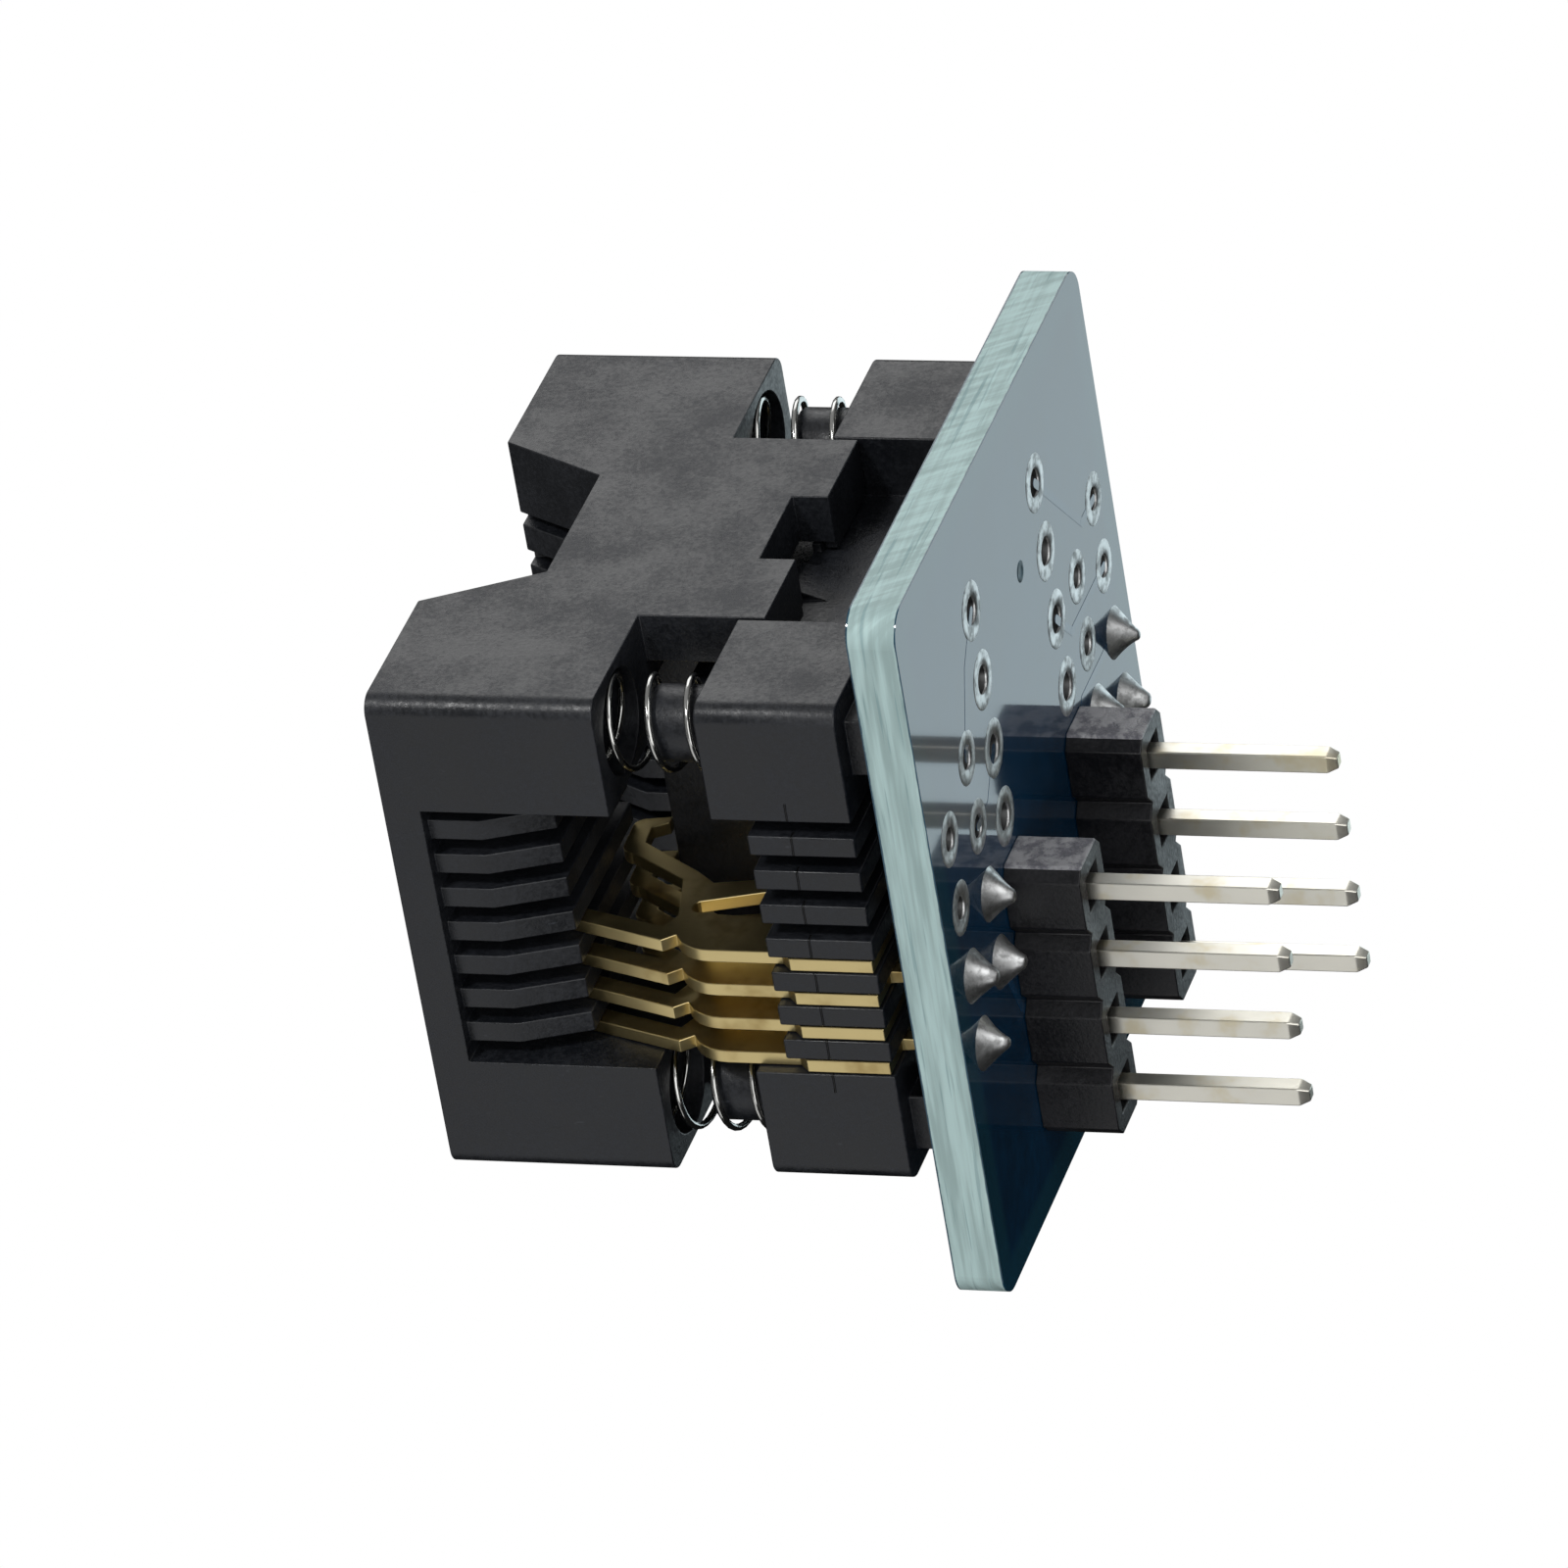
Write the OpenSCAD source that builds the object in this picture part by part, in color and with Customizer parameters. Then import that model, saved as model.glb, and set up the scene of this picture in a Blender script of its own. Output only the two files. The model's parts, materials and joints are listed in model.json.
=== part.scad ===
/* [Pitches] */
// Centre distance of neighbouring contacts
contact_pitch = 1.27; // [1.2:0.01:1.3]
// Contact positions moulded along each side
positions = 8; // [6:1:8]
// Contacts loaded on each side, from the header's end
loaded = 4; // [2:1:4]
// Centre distance of neighbouring header pins
pin_pitch = 2.54; // [2.4:0.01:2.7]
// Distance between the two rows of header pins
pin_row_gap = 7.62; // [7.4:0.01:8.2]

/* [Circuit board] */
// Board thickness
board_t = 1.6; // [1.2:0.1:2.4]
// Board left over beyond the socket's long sides
board_margin = 0.2; // [0.1:0.05:3]
// Board left over beyond the last header pin
board_end_low = 3.62; // [2.6:0.01:6]
// Board left over beyond the last spare header hole
board_end_high = 4; // [2.6:0.01:6]
// Radius of the board's corners
board_r = 1; // [0.3:0.1:2]
// Radius of the holes for header pins
pin_hole_r = 0.5; // [0.48:0.01:0.55]
// Radius of the holes for contact tails
tail_hole_r = 0.42; // [0.38:0.01:0.45]
// Width of the tinned ring round each hole
ring_w = 0.47; // [0.25:0.01:0.5]
// Thickness of the tinned rings
ring_t = 0.04; // [0.03:0.01:0.1]
// Height of the solder cones on the contact tails
solder_h = 0.8; // [0.5:0.05:0.9]

/* [Pin headers] */
// Height of the header's insulator
strip_h = 2.54; // [2:0.02:3.5]
// Width of the header's insulator
strip_w = 2.5; // [2.2:0.05:2.6]
// Corner cut between the header's units
strip_cut = 0.42; // [0.2:0.02:0.6]
// Depth of the pocket round each pin on the seating face
strip_pocket = 0.3; // [0.15:0.05:0.6]
// Thickness of the square pins
pin_t = 0.64; // [0.5:0.02:0.66]
// Free length of the pins below the insulator
pin_free = 6.15; // [3:0.05:9]
// Length of the tapers at the pins' tips
pin_tip = 0.45; // [0.2:0.05:0.9]
// Length of the pins above the board
pin_stub = 0.55; // [0.4:0.05:0.65]

/* [Base] */
// Length of the socket, along the rows of contacts
body_l = 17.6; // [17.2:0.1:20]
// Width of the socket, across the rows
body_w = 21.4; // [21.2:0.1:22]
// Radius of the socket's upright edges
body_r = 0.6; // [0.3:0.1:0.9]
// Height of the feet under the base
foot_h = 0.9; // [0.8:0.05:1.5]
// Side of the square feet
foot_side = 2; // [1.5:0.1:2.4]
// Height of the base's corner blocks
block_h = 4.6; // [4.4:0.1:4.9]
// Height of the base's comb
comb_h = 3.5; // [3.1:0.1:3.7]
// Width of the slots that the contacts stand in
slot_w = 0.55; // [0.52:0.01:0.62]
// Width of the recess at each end that guides the cover
recess_w = 10.9; // [9.8:0.1:11.1]
// Depth of that recess
recess_d = 2.15; // [2.05:0.05:2.3]
// Thickness of the floor under that recess
recess_floor = 0.6; // [0.4:0.05:0.65]
// Height of the chip seat above the base's bottom
seat_h = 8.95; // [8.7:0.05:9.1]
// Width of the pedestal that carries the chip seat
seat_w = 6.1; // [5.8:0.1:6.2]

/* [Cover] */
// Gap between the base's blocks and the released cover
stroke_gap = 3.3; // [3.2:0.1:3.8]
// Height of the cover's corner towers
cover_h = 7.5; // [7.3:0.1:9]
// Thickness of the cover's end walls
end_wall = 2.65; // [2.2:0.05:2.7]
// Thickness of the tongues that slide in the base
tongue_t = 1.7; // [1.6:0.05:1.75]
// Reach of the tongues below the towers
tongue_h = 4.18; // [4:0.02:4.2]
// Width of the cut-out in each tongue's lower edge
cutout_w = 3.7; // [2.6:0.1:4]
// Height of that cut-out
cutout_h = 1.2; // [0.8:0.1:1.5]
// Width of the finger notch at the top
notch_w = 9.6; // [7:0.1:9.7]
// Width of the finger notch at its bottom
notch_bottom_w = 5.8; // [3:0.1:6.5]
// Depth of the finger notch
notch_d = 3.7; // [2:0.1:4.5]
// Half width of the chip opening
guide_half = 3.15; // [3.15:0.01:3.3]
// Open gap between the comb and each end wall
end_gap = 0.45; // [0.3:0.05:0.6]
// Height of the sloped lead-in of the chip opening
funnel_h = 1.45; // [1:0.05:1.6]
// Height of the solid band above the comb
band_h = 1.25; // [1.05:0.05:1.5]
// Recess of the ribs behind the wall's face
rib_recess = 0.35; // [0.2:0.05:0.5]
// Depth of the ribs' upright part below the top
knee_d = 2.95; // [2.4:0.05:3.4]
// Depth of the ribs' feet below the top
rib_d = 5.2; // [4.8:0.05:5.6]
// Inward lean of the ribs below their upright part, in degrees
rib_lean = 20; // [12:1:24]
// Depth of the cams' lower ends below the top
cam_d = 4.45; // [4.2:0.05:4.6]

/* [Springs] */
// Outer diameter of the springs
spring_od = 3.2; // [2.8:0.1:3.2]
// Wire diameter of the springs
wire_d = 0.28; // [0.24:0.02:0.4]
// Working turns of each spring
spring_turns = 6; // [4:0.5:7]

/* [Contacts] */
// Thickness of the sheet that the contacts are stamped from
contact_t = 0.45; // [0.3:0.01:0.46]
// Distance of the outer row of tails inside the socket's side
tail_inset = 1.65; // [1.5:0.05:1.8]
// Distance between the two rows of tails on a side
tail_row_gap = 2.7; // [2.5:0.05:2.75]
// Width of the tails
tail_w = 0.5; // [0.3:0.05:0.52]
// Reach of the tails below the board
tail_reach = 0.9; // [0.9:0.05:1.2]
// Width of the contacts' outer legs
leg_w = 1.8; // [1.5:0.05:1.9]
// Width of the contacts' arms and levers
arm_w = 0.65; // [0.6:0.01:0.7]
// Height of the outer leg's bend above the base's bottom
bend_rise = 5.6; // [5.4:0.05:5.7]
// Radius of that bend
bend_r = 1.45; // [1.3:0.05:1.5]
// Rise of the levers above the bend
lever_rise = 4.05; // [3.9:0.05:4.1]
// Reach of the arms, from the hub in to the chip's lead
arm_reach = 3.45; // [3.3:0.01:3.5]
// Distance of the contact tips from the middle
tip_y = 2.9; // [2.88:0.01:2.95]

/* [Hidden] */
$fn = 48;
cut = 0.01;
slide_play = 0.1;

// The origin is the middle of the header pins, on the face that seats on a board.
board_z = strip_h;
top_z = board_z + board_t;
base_z = top_z + foot_h;
comb_z = base_z + comb_h;
block_z = base_z + block_h;
seat_z = base_z + seat_h;
tower_z = block_z + stroke_gap;
cover_z = tower_z + cover_h;
tongue_z = tower_z - tongue_h;
band_z = cover_z - band_h;

// The header takes the first holes of a board that is drilled for a longer one.
header_half = (loaded - 1) / 2 * pin_pitch;
pin_y = pin_row_gap / 2;

// The first contact stands two header pitches in from the first pin.
half_l = body_l / 2;
half_w = body_w / 2;
comb_half = (positions - 1) / 2 * contact_pitch + slot_w / 2;
socket_x = 2 * pin_pitch - header_half + (positions - 1) / 2 * contact_pitch;
board_x0 = min(-header_half - board_end_low, socket_x - half_l - 0.5);
board_x1 = max(-header_half + (positions - 1) * pin_pitch + board_end_high, socket_x + half_l + 0.5);
board_half = half_w + board_margin;

// The tongues of the cover slide in recesses in the base's ends.
recess_half = recess_w / 2;
recess_x = half_l - recess_d;
tongue_half = recess_half - slide_play;
wall_x = half_l - end_wall;
seat_x = wall_x - 0.15;
comb_end = wall_x - end_gap;

// Latch lips on the base hold the ears at the tongues' feet.
lip_h = 0.3;
lip_y = [2, 5];
ear_h = 0.42;
ear_out = 0.3;
nose_half = 0.85;
nose_out = 0.32;
foot_in = 0.8;
cheek_y = 4.9;
cheek_h = 3.4;
seat_rim = 0.4;
seat_ledge = 0.85;

// Springs stand in the middle of the corner towers.
spring_x = half_l - 2.05;
spring_y = half_w - 2.4;
pocket_r = spring_od / 2 + 0.12;
seat_dip = 0.15;
spring_z0 = block_z - seat_dip;
spring_z1 = cover_z - 1.9;
boss_r = spring_od / 2 - wire_d - 0.2;
boss_h = 1.3;

// Levels of a contact, from the board up, and its distances from the middle
foot_z = base_z + 0.12;
blade_z = base_z + comb_h - arm_w;
foot_y = half_w - 0.05;
leg_y = half_w - 0.4;
bend_y = leg_y - bend_r;
bend_z = base_z + bend_rise;
hub_z = bend_z + bend_r;
lever_z = hub_z + lever_rise;
tip_z = seat_z + 0.06;
tail_out = half_w - tail_inset;
tail_in = tail_out - tail_row_gap;

// A cam behind each contact's lever spreads it as the cover goes down.
slot_in = tail_in - tail_w / 2 - 0.3;
cam_in = slot_in + 1;
cam_out = bend_y - 0.7;
cam_z = cover_z - cam_d;
cam_lean = 20;
rib_z = cover_z - rib_d;
knee_z = cover_z - knee_d;
tooth_y = guide_half + 2.15;

side_names = ["front", "back"];

blue = [0.10, 0.22, 0.55];
tin = [0.78, 0.78, 0.76];
black = [0.09, 0.09, 0.10];
gold = [0.83, 0.66, 0.33];
steel = [0.62, 0.63, 0.65];

// Points along an arc about (cy, cz), from angle a0 to angle a1
function arc(cy, cz, r, a0, a1, n = 6) =
    [for (i = [0 : n]) let (a = a0 + (a1 - a0) * i / n) [cy + r * cos(a), cz + r * sin(a)]];

// Header hole i and contact position k, both counted from the header's end
function pin_x(i) = i * pin_pitch - header_half;
function contact_x(k) = socket_x + (k - (positions - 1) / 2) * contact_pitch;

// Tails alternate between two rows, and the sides start on different ones.
function tail_y(side, k) = (k + (side < 0 ? 0 : 1)) % 2 == 0 ? tail_out : tail_in;

// Lays a drawing of (distance from the middle, height) across the part and thickens it along X
module across(x0, x1) {
    translate([x0, 0, 0]) rotate([90, 0, 90]) linear_extrude(x1 - x0) children();
}

module on_side(side) {
    mirror([0, side < 0 ? 1 : 0, 0]) children();
}

module both_sides() {
    for (side = [-1, 1]) on_side(side) children();
}

// Repeats a shape drawn beside the socket's middle at its four corners
module four_corners() {
    translate([socket_x, 0, 0])
        for (mx = [0, 1], my = [0, 1]) mirror([mx, 0, 0]) mirror([0, my, 0]) children();
}

module box(x0, x1, y0, y1, z0, z1) {
    translate([x0, y0, z0]) cube([x1 - x0, y1 - y0, z1 - z0]);
}

module rounded_rect(x0, x1, half, r) {
    translate([x0 + r, -half]) square([x1 - x0 - 2 * r, 2 * half]);
    translate([x0, r - half]) square([x1 - x0, 2 * (half - r)]);
    for (x = [x0 + r, x1 - r], y = [r - half, half - r]) translate([x, y]) circle(r);
}

// One upright disc at every plated hole, for its bore or its ring
module hole_discs(pin_r, tail_r, z0, z1) {
    for (i = [0 : positions - 1], y = [-pin_y, pin_y])
        translate([pin_x(i), y, z0]) cylinder(r = pin_r, h = z1 - z0);
    for (side = [-1, 1], k = [0 : positions - 1])
        translate([contact_x(k), side * tail_y(side, k), z0]) cylinder(r = tail_r, h = z1 - z0);
}

module circuit_board() {
    color(blue) difference() {
        translate([0, 0, board_z]) linear_extrude(board_t)
            rounded_rect(board_x0, board_x1, board_half, board_r);
        hole_discs(pin_hole_r, tail_hole_r, board_z - cut, top_z + cut);
        hole_discs(pin_hole_r + ring_w, tail_hole_r + ring_w, board_z - cut, board_z + ring_t);
    }
}

// The rings lie flush in the board's lower face.
module annular_rings() {
    color(tin) difference() {
        hole_discs(pin_hole_r + ring_w, tail_hole_r + ring_w, board_z, board_z + ring_t);
        hole_discs(pin_hole_r, tail_hole_r, board_z - cut, board_z + ring_t + cut);
    }
}

module tail_solder() {
    color(tin) for (side = [-1, 1], k = [0 : loaded - 1])
        translate([contact_x(k), side * tail_y(side, k), 0]) difference() {
            translate([0, 0, board_z - solder_h])
                cylinder(r1 = tail_w * 0.72, r2 = tail_hole_r + ring_w, h = solder_h);
            box(-contact_t / 2, contact_t / 2, -tail_w / 2, tail_w / 2,
                board_z - solder_h - cut, board_z + cut);
        }
}

module header_solder() {
    color(tin) for (i = [0 : loaded - 1], y = [-pin_y, pin_y])
        translate([pin_x(i), y, top_z]) difference() {
            cylinder(r1 = pin_hole_r + ring_w, r2 = pin_t * 0.75, h = pin_stub - 0.15);
            box(-pin_t / 2, pin_t / 2, -pin_t / 2, pin_t / 2, -cut, pin_stub);
        }
}

// One unit of the header's insulator, with its corners cut
module strip_unit() {
    a = pin_pitch / 2;
    b = strip_w / 2;
    c = strip_cut;
    polygon([[c - a, -b], [a - c, -b], [a, c - b], [a, b - c],
             [a - c, b], [c - a, b], [-a, b - c], [-a, c - b]]);
}

module header_strip(side) {
    pocket = pin_t / 2 + 0.3;
    color(black) difference() {
        linear_extrude(strip_h) for (i = [0 : loaded - 1]) translate([pin_x(i), side * pin_y]) strip_unit();
        for (i = [0 : loaded - 1]) translate([pin_x(i), side * pin_y, 0]) {
            box(-pin_t / 2, pin_t / 2, -pin_t / 2, pin_t / 2, -cut, strip_h + cut);
            box(-pocket, pocket, -pocket, pocket, -cut, strip_pocket);
        }
    }
}

// A square pin from low to high, swaged to a blunt point at both ends
module header_pin(side, i) {
    h = pin_t / 2;
    low = -pin_free;
    high = top_z + pin_stub;
    outline = [[-h / 2, low], [h / 2, low], [h, low + pin_tip], [h, high - 0.15], [h - 0.1, high],
               [0.1 - h, high], [-h, high - 0.15], [-h, low + pin_tip]];
    color(gold) translate([pin_x(i), side * pin_y, 0]) intersection() {
        across(-h, h) polygon(outline);
        rotate([0, 0, 90]) across(-h, h) polygon(outline);
    }
}

// Slots for every contact position, from the drawing given
module slots() {
    both_sides() for (k = [0 : positions - 1])
        across(contact_x(k) - slot_w / 2, contact_x(k) + slot_w / 2) children();
}

module spring_seats() {
    four_corners() translate([spring_x, spring_y, spring_z0]) cylinder(r = pocket_r, h = seat_dip + cut);
}

module spring_bosses() {
    four_corners() translate([spring_x, spring_y, spring_z0 - cut]) {
        cylinder(r = boss_r, h = boss_h + cut - 0.3);
        translate([0, 0, boss_h + cut - 0.3]) cylinder(r1 = boss_r, r2 = boss_r - 0.25, h = 0.3);
    }
}

module base_body() {
    color(black) {
        difference() {
            translate([0, 0, base_z]) linear_extrude(block_h)
                rounded_rect(socket_x - half_l, socket_x + half_l, half_w, body_r);
            // Recesses for the cover's tongues
            for (m = [0, 1]) translate([socket_x, 0, 0]) mirror([m, 0, 0])
                box(recess_x, half_l + 1, -recess_half, recess_half, base_z + recess_floor, block_z + 1);
            // The comb and the floor round the pedestal lie lower than the corner blocks.
            box(socket_x - comb_half, socket_x + comb_half, -half_w - 1, half_w + 1, comb_z, block_z + 1);
            slots() translate([slot_in, base_z - 1]) square([half_w, block_h + 2]);
            spring_seats();
        }
        // Pedestal with two ledges for the chip's leads
        difference() {
            box(socket_x - seat_x, socket_x + seat_x, -seat_w / 2, seat_w / 2, comb_z - cut, seat_z);
            box(socket_x - seat_x + seat_rim, socket_x + seat_x - seat_rim,
                seat_ledge - seat_w / 2, seat_w / 2 - seat_ledge, seat_z - 0.25, seat_z + 1);
        }
        spring_bosses();
        // Cheeks beside the pedestal's ends
        four_corners() translate([comb_half + 0.2, 0, comb_z - cut])
            cube([seat_x - comb_half - 0.2, cheek_y, cheek_h + cut]);
        for (m = [0, 1]) translate([socket_x, 0, 0]) mirror([m, 0, 0]) {
            // Latch lips that stop the released cover
            both_sides() box(recess_x - cut, recess_x + ear_out, lip_y[0], lip_y[1],
                             block_z - lip_h, block_z);
            // Wedge that centres the tongue's cut-out
            translate([0, nose_half, 0]) rotate([90, 0, 0]) linear_extrude(2 * nose_half)
                polygon([[recess_x - cut, block_z - 1.4], [recess_x + nose_out, block_z - 0.25],
                         [recess_x + nose_out, block_z], [recess_x - cut, block_z]]);
        }
        // Feet
        four_corners() translate([half_l - foot_in - foot_side, half_w - foot_in - foot_side, top_z])
            cube([foot_side, foot_side, foot_h + cut]);
    }
}

// Long wall of the cover: a lead-in for the chip, a solid band and a leaning comb below it
module wall_outline() {
    polygon([[guide_half, rib_z], [leg_y - (knee_z - rib_z) * tan(rib_lean), rib_z], [leg_y, knee_z],
             [leg_y, band_z], [half_w, band_z], [half_w, cover_z],
             [guide_half + funnel_h, cover_z], [guide_half, cover_z - funnel_h]]);
}

module cover() {
    color(black) {
        difference() {
            union() {
                // Corner towers and end walls
                difference() {
                    translate([0, 0, tower_z]) linear_extrude(cover_h)
                        rounded_rect(socket_x - half_l, socket_x + half_l, half_w, body_r);
                    box(socket_x - comb_half, socket_x + comb_half,
                        -half_w - 1, half_w + 1, tower_z - 1, cover_z + 1);
                    box(socket_x - wall_x, socket_x + wall_x,
                        -tongue_half, tongue_half, tower_z - 1, cover_z + 1);
                }
                both_sides() across(socket_x - comb_end, socket_x + comb_end) wall_outline();
            }
            finger_notches();
            four_corners() translate([spring_x, spring_y, tower_z - cut])
                cylinder(r = pocket_r, h = spring_z1 - tower_z + cut);
            // Slots for the contacts' arms, open to the chip
            slots() polygon([[guide_half - 1, rib_z - 1], [cam_in, rib_z - 1], [cam_in, band_z],
                             [tooth_y, band_z], [tooth_y, cover_z + 1], [guide_half - 1, cover_z + 1]]);
            // Slots for the levers, with the cam as their inner face
            slots() polygon([[cam_out, cam_z], [cam_out + (band_z - cam_z) * tan(cam_lean), band_z],
                             [half_w + 1, band_z], [half_w + 1, rib_z - 1],
                             [guide_half, rib_z - 1], [guide_half, cam_z]]);
        }
        tongues();
    }
}

module finger_notches() {
    translate([socket_x - half_l - 1, 0, 0]) rotate([90, 0, 90]) linear_extrude(body_l + 2)
        polygon([[-notch_bottom_w / 2, cover_z - notch_d], [notch_bottom_w / 2, cover_z - notch_d],
                 [notch_w / 2, cover_z + cut], [-notch_w / 2, cover_z + cut]]);
}

module tongues() {
    for (m = [0, 1]) translate([socket_x, 0, 0]) mirror([m, 0, 0]) difference() {
        union() {
            box(half_l - tongue_t, half_l, -tongue_half, tongue_half, tongue_z, tower_z + cut);
            both_sides() box(half_l - tongue_t - ear_out, half_l - 0.5, lip_y[0], lip_y[1] + 0.2,
                             tongue_z, tongue_z + ear_h);
        }
        box(wall_x - 1, half_l + 1, -cutout_w / 2, cutout_w / 2, tongue_z - 1, tongue_z + cutout_h);
    }
}

// Centre line of a coil spring: closed turns at both ends and even ones between
function coil_z(t, h) =
    let (closed = wire_d * 1.04, free = (h - wire_d - 2 * closed) / spring_turns)
    t < 1 ? closed * t
    : t < 1 + spring_turns ? closed + free * (t - 1)
    : closed + free * spring_turns + closed * (t - 1 - spring_turns);

module coil(h) {
    steps = 16;
    sides = 6;
    n = (spring_turns + 2) * steps;
    r = (spring_od - wire_d) / 2;
    points = [for (i = [0 : n]) for (j = [0 : sides - 1])
        let (a = 360 * i / steps, b = 360 * (j + 0.5) / sides, d = r + wire_d / 2 * cos(b))
            [d * cos(a), d * sin(a), wire_d / 2 * cos(30) + coil_z(i / steps, h) + wire_d / 2 * sin(b)]];
    walls = [for (i = [0 : n - 1]) for (j = [0 : sides - 1])
        let (p = i * sides + j, q = i * sides + (j + 1) % sides)
            [p, p + sides, q + sides, q]];
    ends = [[for (j = [0 : sides - 1]) j], [for (j = [sides - 1 : -1 : 0]) n * sides + j]];
    polyhedron(points, concat(walls, ends), convexity = 10);
}

module spring(i) {
    sx = i % 2 == 1 ? -1 : 1;
    sy = i <= 2 ? -1 : 1;
    color(steel) translate([socket_x + sx * spring_x, sy * spring_y, spring_z0])
        coil(spring_z1 - spring_z0);
}

// A stamped contact: a foot and a tail in the base, a bowed outer leg and a straight inner
// leg, a hub on them, an arm that bears on the chip's lead, and a lever that the cam spreads
module contact(side, k) {
    tail = tail_y(side, k);
    a = arm_w;
    hub_in = tip_y + arm_reach;
    hub_top = hub_z + 0.85 * a;
    leg_in = leg_y - leg_w;
    heel = slot_in + 0.15;
    crotch_y = (hub_in + 0.6 * a + leg_in) / 2;
    outer_leg = concat([[leg_in, blade_z], [leg_y, blade_z]], arc(bend_y, bend_z, bend_r, 0, 90, 8));
    arm = concat(
        [[hub_in, hub_top], [hub_in - 2.15 * a, tip_z + 1.1 * a]],
        arc(hub_in - 2.92 * a, tip_z + 0.95 * a, 0.8 * a, 15, 90, 4),
        arc(tip_y + 0.7 * a, tip_z + 1.15 * a, 0.65 * a, 95, 170, 4),
        [[tip_y - 0.18 * a, tip_z], [tip_y + 0.34 * a, tip_z], [tip_y + 0.8 * a, tip_z + 0.75 * a],
         [hub_in - 3.15 * a, tip_z + 0.7 * a], [hub_in - 0.77 * a, hub_top - 0.54 * a]]);
    inner_leg = [[hub_in + 0.2 * a, hub_z - 0.8 * a], [heel, comb_z], [heel, foot_z + a],
                 [heel + 0.95 * a, foot_z + a], [heel + 0.95 * a, comb_z]];
    crotch = arc(crotch_y, hub_z - 2.3 * a, 0.65 * a, 165, 0, 6);
    color(gold) on_side(side) across(contact_x(k) - contact_t / 2, contact_x(k) + contact_t / 2) {
        polygon(concat(outer_leg, arm, inner_leg, crotch));
        // Tail, foot and the blade that lies flush in the base's side
        translate([tail - tail_w / 2, board_z - tail_reach])
            square([tail_w, foot_z + 0.3 * a - board_z + tail_reach]);
        polygon([[heel, foot_z], [foot_y, foot_z], [foot_y, blade_z], [leg_y, blade_z + 0.5 * a],
                 [leg_in + 0.2 * a, blade_z + 0.5 * a], [leg_in + 0.2 * a, foot_z + 1.8 * a],
                 [heel, foot_z + 1.15 * a]]);
        // Lever
        polygon([[bend_y - 0.75 * a, hub_z - 0.5 * a], [bend_y + 0.75 * a, hub_z - 0.5 * a],
                 [bend_y + 1.5 * a, hub_z + 0.4 * a], [bend_y - 0.15 * a, lever_z - 0.7 * a],
                 [bend_y - 0.7 * a, lever_z], [bend_y - 1.25 * a, lever_z - 0.7 * a],
                 [bend_y + 0.3 * a, hub_z + 0.65 * a], [bend_y - 0.9 * a, hub_z + 0.08 * a]]);
    }
}

circuit_board();
annular_rings();
tail_solder();
header_solder();
header_strip(-1);  // header_strip_front
header_strip(1);  // header_strip_back
base_body();
cover();
for (i = [1 : 4]) spring(i);
for (s = [0, 1], i = [1 : loaded]) {
    header_pin(2 * s - 1, i - 1);
    contact(2 * s - 1, i - 1);
}
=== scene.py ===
"""Dresses a packed IC test socket adapter: moulded plastic, gold contacts, springs, pins and solder."""

import json
import math

import bmesh
import bpy
from mathutils import Matrix, Vector


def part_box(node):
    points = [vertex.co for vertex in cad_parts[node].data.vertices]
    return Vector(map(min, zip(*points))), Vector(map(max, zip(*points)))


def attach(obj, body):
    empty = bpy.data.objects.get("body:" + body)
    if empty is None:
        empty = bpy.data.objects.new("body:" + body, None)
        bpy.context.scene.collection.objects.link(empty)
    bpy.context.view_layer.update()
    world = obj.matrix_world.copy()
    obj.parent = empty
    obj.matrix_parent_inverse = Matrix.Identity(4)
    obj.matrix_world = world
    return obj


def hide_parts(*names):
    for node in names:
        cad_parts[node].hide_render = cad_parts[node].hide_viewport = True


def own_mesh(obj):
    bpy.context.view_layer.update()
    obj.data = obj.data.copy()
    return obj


bl_info = {
    "name": "IC test socket adapter",
    "version": (1, 0, 0),
    "blender": (4, 5, 0),
    "location": "View3D > Sidebar > Test Socket",
    "description": "Builds the visible pieces of a sprung test socket on its header board",
    "category": "Add Mesh",
}

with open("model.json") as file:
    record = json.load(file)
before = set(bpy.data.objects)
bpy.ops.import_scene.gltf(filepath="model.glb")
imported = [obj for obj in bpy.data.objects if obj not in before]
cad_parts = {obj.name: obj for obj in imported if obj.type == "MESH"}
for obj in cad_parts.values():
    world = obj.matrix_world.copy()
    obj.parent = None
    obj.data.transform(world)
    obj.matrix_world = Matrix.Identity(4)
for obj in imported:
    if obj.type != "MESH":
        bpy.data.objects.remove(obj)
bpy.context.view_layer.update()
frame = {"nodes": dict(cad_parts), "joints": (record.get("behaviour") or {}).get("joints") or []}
MM = 0.001
SOCKET, COVER, JOINT = "socket", "cover", "cover_press"

BOARD_LOW, BOARD_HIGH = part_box("circuit_board")
BASE_LOW, BASE_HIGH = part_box("base_body")
CENTRE_X = (BASE_LOW.x + BASE_HIGH.x) / 2
BOARD_MID = (BOARD_LOW.z + BOARD_HIGH.z) / 2
TRAVEL = next(j for j in frame["joints"] if j["name"] == JOINT)["range_m"][1]

PIN_NODES = sorted(n for n in frame["nodes"] if n.startswith("header_pin_"))
CONTACT_NODES = sorted(n for n in frame["nodes"] if n.startswith("contact_"))
SPRING_NODES = sorted(n for n in frame["nodes"] if n.startswith("spring_"))
STRIP_NODES = sorted(n for n in frame["nodes"] if n.startswith("header_strip_"))

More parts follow.
